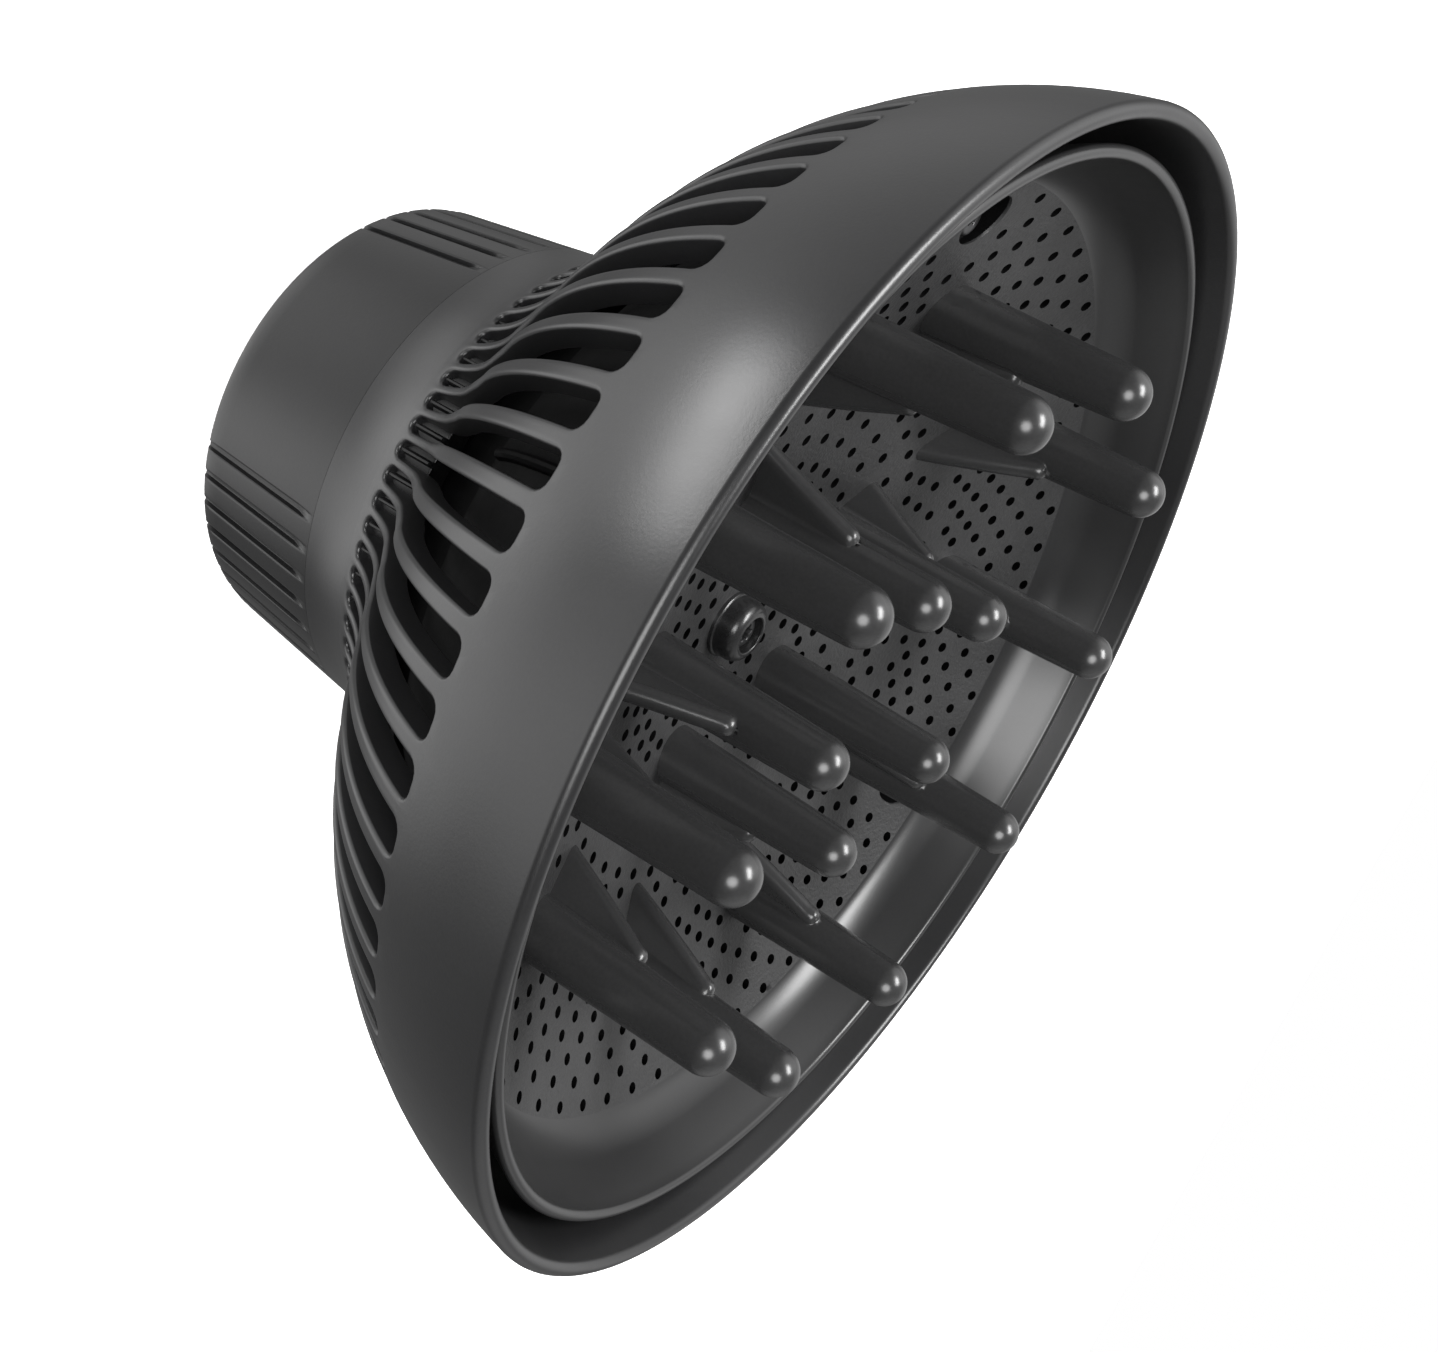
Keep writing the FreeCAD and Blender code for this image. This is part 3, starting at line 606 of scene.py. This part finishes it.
def finger(kind):
    """Tapered post with a round tip and a web, at its place on the azimuth 0."""
    spec = FINGER[kind]
    circle_r, dome, web_top, side = (spec[k] for k in ("circle", "dome", "web_top", "side"))

    def floor(x, y):
        return dish(math.hypot(circle_r + side * x, y))

    def width(z):
        share = min(max((z - dome + FOOT_DROP) / FOOT_DROP, -0.2), 1.0)
        return BASE_R + (TIP_R - BASE_R) * share

    rows = []
    tall = web_top - floor(0, 0)
    last = 1 - WEB_ROUND / tall
    for f in [-0.04, 0.0, 0.03] + list(np.linspace(0.08, last, 14)):
        z_mean = floor(0, 0) + f * tall
        reach = WEB_REACH + (WEB_TOP_REACH - WEB_REACH) * f
        rows.append(section(width(z_mean), WEB_HALF, reach,
                            lambda x, y: floor(x, y) + f * (web_top - floor(x, y))))
    for step in range(1, 5):
        turn = math.pi / 8 * step
        z = web_top - WEB_ROUND * (1 - math.sin(turn))
        shrink = WEB_ROUND * (1 - math.cos(turn))
        reach = WEB_REACH + (WEB_TOP_REACH - WEB_REACH) * last - shrink
        rows.append(section(width(z), WEB_HALF - shrink * NARROWING, reach, lambda x, y: z))
    slim = WEB_HALF - WEB_ROUND * NARROWING
    rows.append(section(width(web_top), slim, 0, lambda x, y: web_top))
    for z in np.linspace(web_top + 0.6, dome, 8):
        rows.append(section(width(z), slim, 0, lambda x, y: z))
    for step in range(1, 12):
        turn = math.pi / 2 * step / 12
        z = dome + TIP_R * math.sin(turn)
        rows.append(section(TIP_R * math.cos(turn), slim * math.cos(turn), 0, lambda x, y: z))
    points = np.array(rows)
    shape = Shape()
    shape.grid(points, closed=True)
    count = points.shape[1]
    crown = [tuple(p) for p in points[-1]] + [(0.0, 0.0, dome + TIP_R)]
    shape.add(crown, [(k, (k + 1) % count, count) for k in range(count)])
    shape.add([tuple(p) for p in points[0]], [tuple(range(count))[::-1]])
    flat = np.concatenate(shape.points)
    flat[:, 0] = flat[:, 0] * side + circle_r
    flat[:, 1] = flat[:, 1] * side
    shape.points = [flat]
    return shape


# ---- screws ------------------------------------------------------------------------------------

SCREW_STEPS, SHANK_R, LOBES, SOCKET_R, LOBE = 48, 1.2, 6, 1.02, 0.24


def star():
    """Outline of a six-lobed socket."""
    outline = []
    for n in range(SCREW_STEPS):
        a = TURN * n / SCREW_STEPS
        r = SOCKET_R + LOBE * math.cos(LOBES * a)
        outline.append((r * math.cos(a), r * math.sin(a)))
    return outline


def screw_head(radius, height, reach):
    """Pan head with a star socket, standing on height 0, and the shank below it."""
    count = SCREW_STEPS
    outline = star()
    ring = [(math.cos(TURN * n / count), math.sin(TURN * n / count)) for n in range(count)]
    rows = [[(SHANK_R * x, SHANK_R * y, z) for x, y in ring] for z in (-reach, 0)]
    sides = [(radius - 0.15, 0.0), (radius, 0.15), (radius, height * 0.55),
             (radius - 0.12, height * 0.78), (radius - 0.4, height * 0.94), (radius - 0.8, height)]
    rows += [[(r * x, r * y, z) for x, y in ring] for r, z in sides]
    rows.append([(1.08 * x, 1.08 * y, height) for x, y in outline])
    rows.append([(x, y, height - 0.08) for x, y in outline])
    rows.append([(x, y, height - 0.9) for x, y in outline])
    rows.append([(0.3 * x, 0.3 * y, height - 1.05) for x, y in outline])
    shape = Shape()
    shape.grid(rows, closed=True)
    tip = [(0, 0, height - 1.1)]
    shape.add(rows[-1] + tip, [(k, (k + 1) % count, count) for k in range(count)])
    shape.add(rows[0], [tuple(range(count))[::-1]])
    return shape


# ---- air chamber -------------------------------------------------------------------------------

FLUTES, FLUTE_DEPTH, FLUTE_PHASE = 144, 0.55, math.radians(0.75)
FLARE = ((32.6, 37.0), (42.0, 48.0), 18.0)      # start, end and radius of the arc
BODY = ((42.0, 48.0), (64.0, 74.6), 62.0)
CHAMBER_WALL, RIBS, RIB_START = 1.9, 10, -94.0


def duct_tube():
    """Fluted lower tube of the chamber, seen through the neck ends of the slots."""
    shape = Shape()
    levels = [(30.8, 24.15, 0.0), (30.8, 29.5, 0.0), (34.9, 31.2, 0.0), (35.6, 31.7, 0.6),
              (35.8, 32.2, 1.0), (35.8, 34.4, 1.0), (35.8, 36.6, 1.0), (35.6, 36.9, 0.6),
              (35.0, 37.0, 0.0), (31.6, 37.0, 0.0)]
    lobe = [(-0.5, 0.0), (-0.24, 0.0), (-0.17, 0.55), (-0.08, 0.95), (0.0, 1.0),
            (0.08, 0.95), (0.17, 0.55), (0.24, 0.0)]
    rows = []
    for r, z, lift in levels:
        row = []
        for n in range(FLUTES):
            for share, bump in lobe:
                a = TURN * (n + 0.5 + share) / FLUTES + FLUTE_PHASE
                radius = r + FLUTE_DEPTH * bump * lift
                row.append((radius * math.cos(a), radius * math.sin(a), z))
        rows.append(row)
    shape.grid(rows, closed=True)
    return shape


def chamber_shell():
    """Flared chamber wall with upright ribs and screw posts, and the tube's plain inside."""
    flare = arc_centre(*FLARE, False)
    wall = arc_centre(*BODY, True)

    def body_radius(z):
        return wall[0] + math.sqrt(BODY[2] ** 2 - (z - wall[1]) ** 2)

    outside = []
    for z in np.linspace(37.0, 47.2, 8):
        outside.append((flare[0] - math.sqrt(FLARE[2] ** 2 - (z - flare[1]) ** 2), z))
    for z in np.linspace(48.0, 74.6, 18):
        outside.append((body_radius(z), z))
    inside = [(r - CHAMBER_WALL, z) for r, z in reversed(outside)]
    inside += [(30.9, 36.0), (30.9, 32.3), (29.2, 30.0), (29.2, 24.15), (30.8, 24.15)]
    shape = Shape()
    shape.revolve(outside + inside, 180)
    rib = [(-0.3, -0.6), (1.2, -0.55), (1.6, -0.2), (1.6, 0.2), (1.2, 0.55), (-0.3, 0.6)]
    ribs = Shape()
    for n in range(RIBS):
        a = math.radians(RIB_START + 360 / RIBS * n)
        rows = []
        for z in np.linspace(52.0, 73.0, 12):
            row = []
            for lift, aside in rib:
                radius = body_radius(z) + lift
                row.append((radius * math.cos(a) - aside * math.sin(a),
                            radius * math.sin(a) + aside * math.cos(a), z))
            rows.append(row)
        ribs.grid(rows, closed=True)
        for row, order in ((rows[0], -1), (rows[-1], 1)):
            ribs.add(row, [tuple(range(len(rib)))[::order]])
    shape.add(np.concatenate(ribs.points), ribs.faces)
    for turn in THIRDS:
        post = Shape()
        post.revolve([(0.2, 63.5), (3.0, 63.5), (3.2, 63.7), (3.2, 69.8), (3.0, 70.0),
                      (0.2, 70.0)], 40)
        post.move(SCREW_CIRCLE, SCREW_ANGLE + turn)
        shape.add(np.concatenate(post.points), post.faces)
    return shape


# ---- materials ---------------------------------------------------------------------------------

class Nodes:
    """Short way to lay out a node tree in object space; noise scales are per metre."""

    def __init__(self, name):
        self.material = bpy.data.materials.new(name)
        self.material.use_nodes = True
        self.tree = self.material.node_tree
        self.shader = next(n for n in self.tree.nodes if n.type == "BSDF_PRINCIPLED")
        self.where = self.new("ShaderNodeTexCoord").outputs["Object"]

    def new(self, kind, **settings):
        node = self.tree.nodes.new(kind)
        for key, value in settings.items():
            setattr(node, key, value)
        return node

    def link(self, start, end):
        self.tree.links.new(start, end)

    def noise(self, scale, detail=3.0, roughness=0.5, stretch=None):
        where = self.where
        if stretch:
            mapping = self.new("ShaderNodeMapping")
            mapping.inputs["Scale"].default_value = stretch
            self.link(where, mapping.inputs["Vector"])
            where = mapping.outputs["Vector"]
        node = self.new("ShaderNodeTexNoise")
        node.inputs["Scale"].default_value = scale
        node.inputs["Detail"].default_value = detail
        node.inputs["Roughness"].default_value = roughness
        self.link(where, node.inputs["Vector"])
        return node.outputs["Fac"]

    def ramp(self, value, low, high, start=0.35, end=0.65):
        """Value mapped from start..end to low..high."""
        node = self.new("ShaderNodeMapRange")
        limits = {"From Min": start, "From Max": end, "To Min": low, "To Max": high}
        for key, number in limits.items():
            node.inputs[key].default_value = number
        self.link(value, node.inputs["Value"])
        return node.outputs["Result"]

    def blend(self, factor, first, second):
        """Mix of two colours, each a tuple or a node's output."""
        node = self.new("ShaderNodeMix", data_type="RGBA")
        self.link(factor, node.inputs["Factor"])
        for socket, value in (("A", first), ("B", second)):
            target = next(i for i in node.inputs if i.name == socket and i.type == "RGBA")
            if isinstance(value, tuple):
                target.default_value = (*value, 1.0)
            else:
                self.link(value, target)
        return next(o for o in node.outputs if o.type == "RGBA")

    def bump(self, height, distance, strength=1.0, below=None):
        """Bump of that depth in metres, on top of the one below."""
        node = self.new("ShaderNodeBump")
        node.inputs["Distance"].default_value = distance
        node.inputs["Strength"].default_value = strength
        self.link(height, node.inputs["Height"])
        if below:
            self.link(below, node.inputs["Normal"])
        return node.outputs["Normal"]


SPECK_SHARE, SPECK_DARK, SPECK_LIGHT, WORN_LIGHT = 0.35, 0.86, 1.12, 1.9


def plastic(name, dark, light, rough, grain, grain_depth, shine=0.5, worn=0.0, flow=0.35):
    """Moulded plastic: mottled and specked colour, rubbed patches, uneven gloss, fine grain and
    faint flow waviness. Rough is a range, worn the most that a rubbed patch shows."""
    n = Nodes(name)
    mottle = n.ramp(n.noise(38.0, 4.0, 0.55), 0.0, 1.0)
    colour = n.blend(mottle, dark, light)
    speck = n.ramp(n.noise(2400.0, 2.0, 0.6), 0.0, 1.0, 0.3, 0.7)
    darker = tuple(c * SPECK_DARK for c in dark)
    lighter = tuple(c * SPECK_LIGHT for c in light)
    tone = n.blend(speck, darker, lighter)
    both = n.new("ShaderNodeMix", data_type="RGBA")
    both.inputs["Factor"].default_value = SPECK_SHARE
    sockets = [i for i in both.inputs if i.type == "RGBA"]
    n.link(colour, sockets[0])
    n.link(tone, sockets[1])
    mixed = next(o for o in both.outputs if o.type == "RGBA")
    if worn:
        rubbed = n.ramp(n.noise(150.0, 6.0, 0.7), 0.0, worn, 0.56, 0.8)
        mixed = n.blend(rubbed, mixed, tuple(c * WORN_LIGHT for c in light))
    n.link(mixed, n.shader.inputs["Base Color"])
    smear = n.noise(90.0, 5.0, 0.6, stretch=(1.0, 1.0, 0.35))
    n.link(n.ramp(smear, rough[0], rough[1], 0.3, 0.7), n.shader.inputs["Roughness"])
    wave = n.bump(n.noise(55.0, 2.0), 0.00004, flow)
    n.link(n.bump(n.noise(grain, 3.0, 0.65), grain_depth, 1.0, wave), n.shader.inputs["Normal"])
    n.shader.inputs["IOR"].default_value = 1.5
    n.shader.inputs["Specular IOR Level"].default_value = shine
    return n.material


def metal(name, dark, light):
    """Blackened steel with faint streaks along the axis."""
    n = Nodes(name)
    colour = n.blend(n.ramp(n.noise(260.0, 5.0), 0.0, 1.0), dark, light)
    n.link(colour, n.shader.inputs["Base Color"])
    brush = n.noise(900.0, 4.0, 0.7, stretch=(1.0, 1.0, 0.2))
    n.link(n.ramp(brush, 0.26, 0.46, 0.3, 0.7), n.shader.inputs["Roughness"])
    n.link(n.bump(brush, 0.00002, 0.5), n.shader.inputs["Normal"])
    n.shader.inputs["Metallic"].default_value = 0.9
    return n.material


SHELL = plastic("shell_plastic", (0.0105, 0.0105, 0.011), (0.0135, 0.0135, 0.014),
                (0.29, 0.34), 2600.0, 0.000010, worn=0.10)
COLLAR = plastic("collar_plastic", (0.0075, 0.0075, 0.0078), (0.0105, 0.0105, 0.0108),
                 (0.29, 0.34), 2400.0, 0.000010, shine=0.44, worn=0.10)
GRAIN = plastic("dish_plastic", (0.0110, 0.0110, 0.0113), (0.0260, 0.0260, 0.0265),
                (0.40, 0.50), 1700.0, 0.00010)
GLOSS = plastic("wall_plastic", (0.0110, 0.0110, 0.0113), (0.0140, 0.0140, 0.0143),
                (0.28, 0.31), 2600.0, 0.000002, flow=0.08)
BOSS = plastic("boss_plastic", (0.012, 0.012, 0.0123), (0.016, 0.016, 0.0164),
               (0.25, 0.28), 2600.0, 0.000002, flow=0.05)
FINGER_SKIN = plastic("finger_plastic", (0.024, 0.024, 0.0243), (0.028, 0.028, 0.0284),
                      (0.24, 0.26), 2800.0, 0.000003, flow=0.08)
INNER = plastic("duct_plastic", (0.006, 0.006, 0.0062), (0.009, 0.009, 0.0093),
                (0.34, 0.44), 2200.0, 0.00001, shine=0.40)
# Near-black, darker than the plastic itself: real black plastic with painted shade for the
# chamber's depths, and painted shade on the bowl's hole and pocket walls.
BLACK_AND_SHADE = plastic("black_plastic_and_painted_shade", (0.0012, 0.0012, 0.0013), (0.002, 0.002, 0.0021),
                (0.6, 0.72), 1800.0, 0.00002, shine=0.06)
RUBBER = plastic("sleeve_rubber", (0.014, 0.014, 0.0144), (0.020, 0.020, 0.0205),
                 (0.62, 0.78), 1400.0, 0.00005)
STEEL = metal("screw_metal", (0.060, 0.060, 0.0615), (0.090, 0.090, 0.0920))

# ---- pieces ------------------------------------------------------------------------------------

make("bell", outer_bell(), [SHELL], ["outer_bell"])
make("collar", grip_collar(), [COLLAR], ["grip_collar"])
make("sleeve", barrel_sleeve(), [RUBBER], ["barrel_sleeve"])
make("bowl", finger_bowl(), [GRAIN, GLOSS, BOSS, BLACK_AND_SHADE], ["finger_bowl"])
make("chamber_wall", chamber_shell(), [BLACK_AND_SHADE], ["air_chamber"])
make("chamber_duct", duct_tube(), [INNER])

finger_mesh = {kind: finger(kind).mesh(f"{kind}_finger") for kind in FINGER}
for number, (kind, turn) in enumerate(FINGERS, start=1):
    piece = bpy.data.objects.new(f"rod_{number:02d}", finger_mesh[kind])
    piece.rotation_euler = (0, 0, math.radians(FINGER_ANGLE + turn))
    bpy.context.scene.collection.objects.link(piece)
    if not piece.data.materials:
        piece.data.materials.append(FINGER_SKIN)
    piece.modifiers.new("even_normals", "WEIGHTED_NORMAL").weight = NORMAL_WEIGHT
    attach(piece, "root")
    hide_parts(f"finger_{number:02d}")

SEAT_GAP = 0.02
boss_screw = screw_head(2.3, 1.2, 11.0).move(0, 0, BOSS_TOP - RECESS_DEPTH + SEAT_GAP)
make("boss_screw", boss_screw, [STEEL], ["centre_screw"])
rim_screws = Shape()
for turn in THIRDS:
    screw = screw_head(2.55, 1.4, 6.0)
    screw.move(SCREW_CIRCLE, SCREW_ANGLE + turn, dish(SCREW_CIRCLE) - POCKET_DEPTH + SEAT_GAP)
    rim_screws.add(np.concatenate(screw.points), screw.faces)
make("rim_screws", rim_screws, [STEEL], ["bowl_screws"])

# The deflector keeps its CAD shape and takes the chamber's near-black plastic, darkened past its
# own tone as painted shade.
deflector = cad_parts["air_deflector"]
deflector.data.materials.clear()
deflector.data.materials.append(BLACK_AND_SHADE)

# ---- floor, light and camera, in metres --------------------------------------------------------

FLOOR_HALF, FLOOR_Z = 3.0, -0.0003
AIM = Vector((0.0, 0.0, 0.066))
SURROUND = 0.22
# Soft bright patches of the surround: towards where, full to, gone by (both degrees off), strength.
PATCHES = (
    ((0.20, -0.765, 0.61), 13.0, 21.0, 10.5),
    ((0.48, -0.66, -0.58), 5.0, 29.0, 1.5),
    ((0.10, -0.60, -0.79), 10.0, 54.0, 0.55),
    ((0.26, -0.10, -0.96), 12.0, 27.0, 1.35),
    ((-0.22, -0.26, -0.94), 8.0, 24.0, 1.2),
    ((-0.80, 0.0, -0.60), 5.0, 40.0, 0.55),
    ((-0.80, 0.20, 0.56), 8.0, 42.0, 1.5),
    ((0.80, 0.40, 0.50), 8.0, 38.0, 0.40),
    ((-0.22, 0.88, 0.42), 8.0, 42.0, 0.70),
)
STRIP_SIDE, STRIP_AWAY = Vector((-0.54, -0.06, 0.84)).normalized(), 0.8
SPOT_PLACE, SPOT_AIM = Vector((-0.049, -0.142, 0.005)), Vector((-0.011, -0.074, 0.086))
SENSOR, LENS, SHIFT_X, SHIFT_Y, NEAREST = 36.0, 42.5, -0.0081, -0.0043, 0.01
CAMERA_PLACE = (0.0, -0.1948, 0.1513)
VIEW_ACROSS = Vector((-0.4973, 0.3601, 0.7893))
VIEW_UP = Vector((-0.8673, -0.1818, -0.4635))


def paper():
    """Pale matt paper, lit a little from within so that it stays even."""
    n = Nodes("paper")
    tone = n.ramp(n.noise(6.0, 3.0), 0.0, 1.0)
    n.link(n.blend(tone, (0.90, 0.90, 0.895), (0.93, 0.93, 0.925)), n.shader.inputs["Base Color"])
    n.link(n.bump(n.noise(700.0, 3.0), 0.00008, 0.3), n.shader.inputs["Normal"])
    n.shader.inputs["Roughness"].default_value = 0.8
    n.shader.inputs["Emission Color"].default_value = (1.0, 1.0, 1.0, 1.0)
    n.shader.inputs["Emission Strength"].default_value = 0.8
    return n.material


corners = [(FLOOR_HALF * x, FLOOR_HALF * y, 0) for x, y in ((-1, -1), (1, -1), (1, 1), (-1, 1))]
ground = bpy.data.meshes.new("floor")
ground.from_pydata(corners, [], [(0, 1, 2, 3)])
floor = bpy.data.objects.new("floor", ground)
floor.data.materials.append(paper())
floor.location.z = FLOOR_Z
bpy.context.scene.collection.objects.link(floor)
for ray in ("diffuse", "glossy", "transmission", "shadow"):
    setattr(floor, f"visible_{ray}", False)


def studio():
    """White surround for the camera, and for the object a dim one with soft bright patches."""
    world = bpy.data.worlds.new("studio")
    world.use_nodes = True
    tree = world.node_tree
    shine = tree.nodes["Background"]
    shine.inputs["Color"].default_value = (1.0, 1.0, 1.0, 1.0)
    where = tree.nodes.new("ShaderNodeTexCoord").outputs["Generated"]
    total = None
    for direction, near, far, strength in PATCHES:
        facing = tree.nodes.new("ShaderNodeVectorMath")
        facing.operation = "DOT_PRODUCT"
        facing.inputs[1].default_value = Vector(direction).normalized()
        tree.links.new(where, facing.inputs[0])
        patch = tree.nodes.new("ShaderNodeMapRange")
        patch.interpolation_type = "SMOOTHSTEP"
        patch.inputs["From Min"].default_value = math.cos(math.radians(far))
        patch.inputs["From Max"].default_value = math.cos(math.radians(near))
        patch.inputs["To Max"].default_value = strength
        tree.links.new(facing.outputs["Value"], patch.inputs["Value"])
        add = tree.nodes.new("ShaderNodeMath")
        tree.links.new(patch.outputs["Result"], add.inputs[0])
        add.inputs[1].default_value = SURROUND
        if total:
            tree.links.new(total, add.inputs[1])
        total = add.outputs[0]
    swap = tree.nodes.new("ShaderNodeMix")
    tree.links.new(tree.nodes.new("ShaderNodeLightPath").outputs["Is Camera Ray"], swap.inputs[0])
    tree.links.new(total, swap.inputs[2])
    swap.inputs[3].default_value = 1.0
    tree.links.new(swap.outputs[0], shine.inputs["Strength"])
    bpy.context.scene.world = world


def lamp(name, place, target, width, height, power):
    """Softbox at a place, facing the target."""
    data = bpy.data.lights.new(name, "AREA")
    data.shape = "RECTANGLE"
    data.size, data.size_y = width, height
    data.energy = power
    light = bpy.data.objects.new(name, data)
    light.location = place
    light.rotation_euler = (place - target).to_track_quat("Z", "Y").to_euler()
    light.visible_camera = False
    bpy.context.scene.collection.objects.link(light)


studio()
lamp("top_strip", AIM + STRIP_SIDE * STRIP_AWAY, AIM, 0.23, 0.42, 7.5)
lamp("low_spot", SPOT_PLACE, SPOT_AIM, 0.075, 0.028, 0.080)
bpy.context.scene.view_settings.view_transform = "Standard"

camera = bpy.data.objects.new("camera", bpy.data.cameras.new("camera"))
camera.data.sensor_width = SENSOR
camera.data.lens = LENS
camera.data.shift_x = SHIFT_X
camera.data.shift_y = SHIFT_Y
camera.data.clip_start = NEAREST
facing = Matrix((VIEW_ACROSS, VIEW_UP, VIEW_ACROSS.cross(VIEW_UP))).transposed()
camera.rotation_euler = facing.to_euler()
camera.location = CAMERA_PLACE
bpy.context.scene.collection.objects.link(camera)
bpy.context.scene.camera = camera
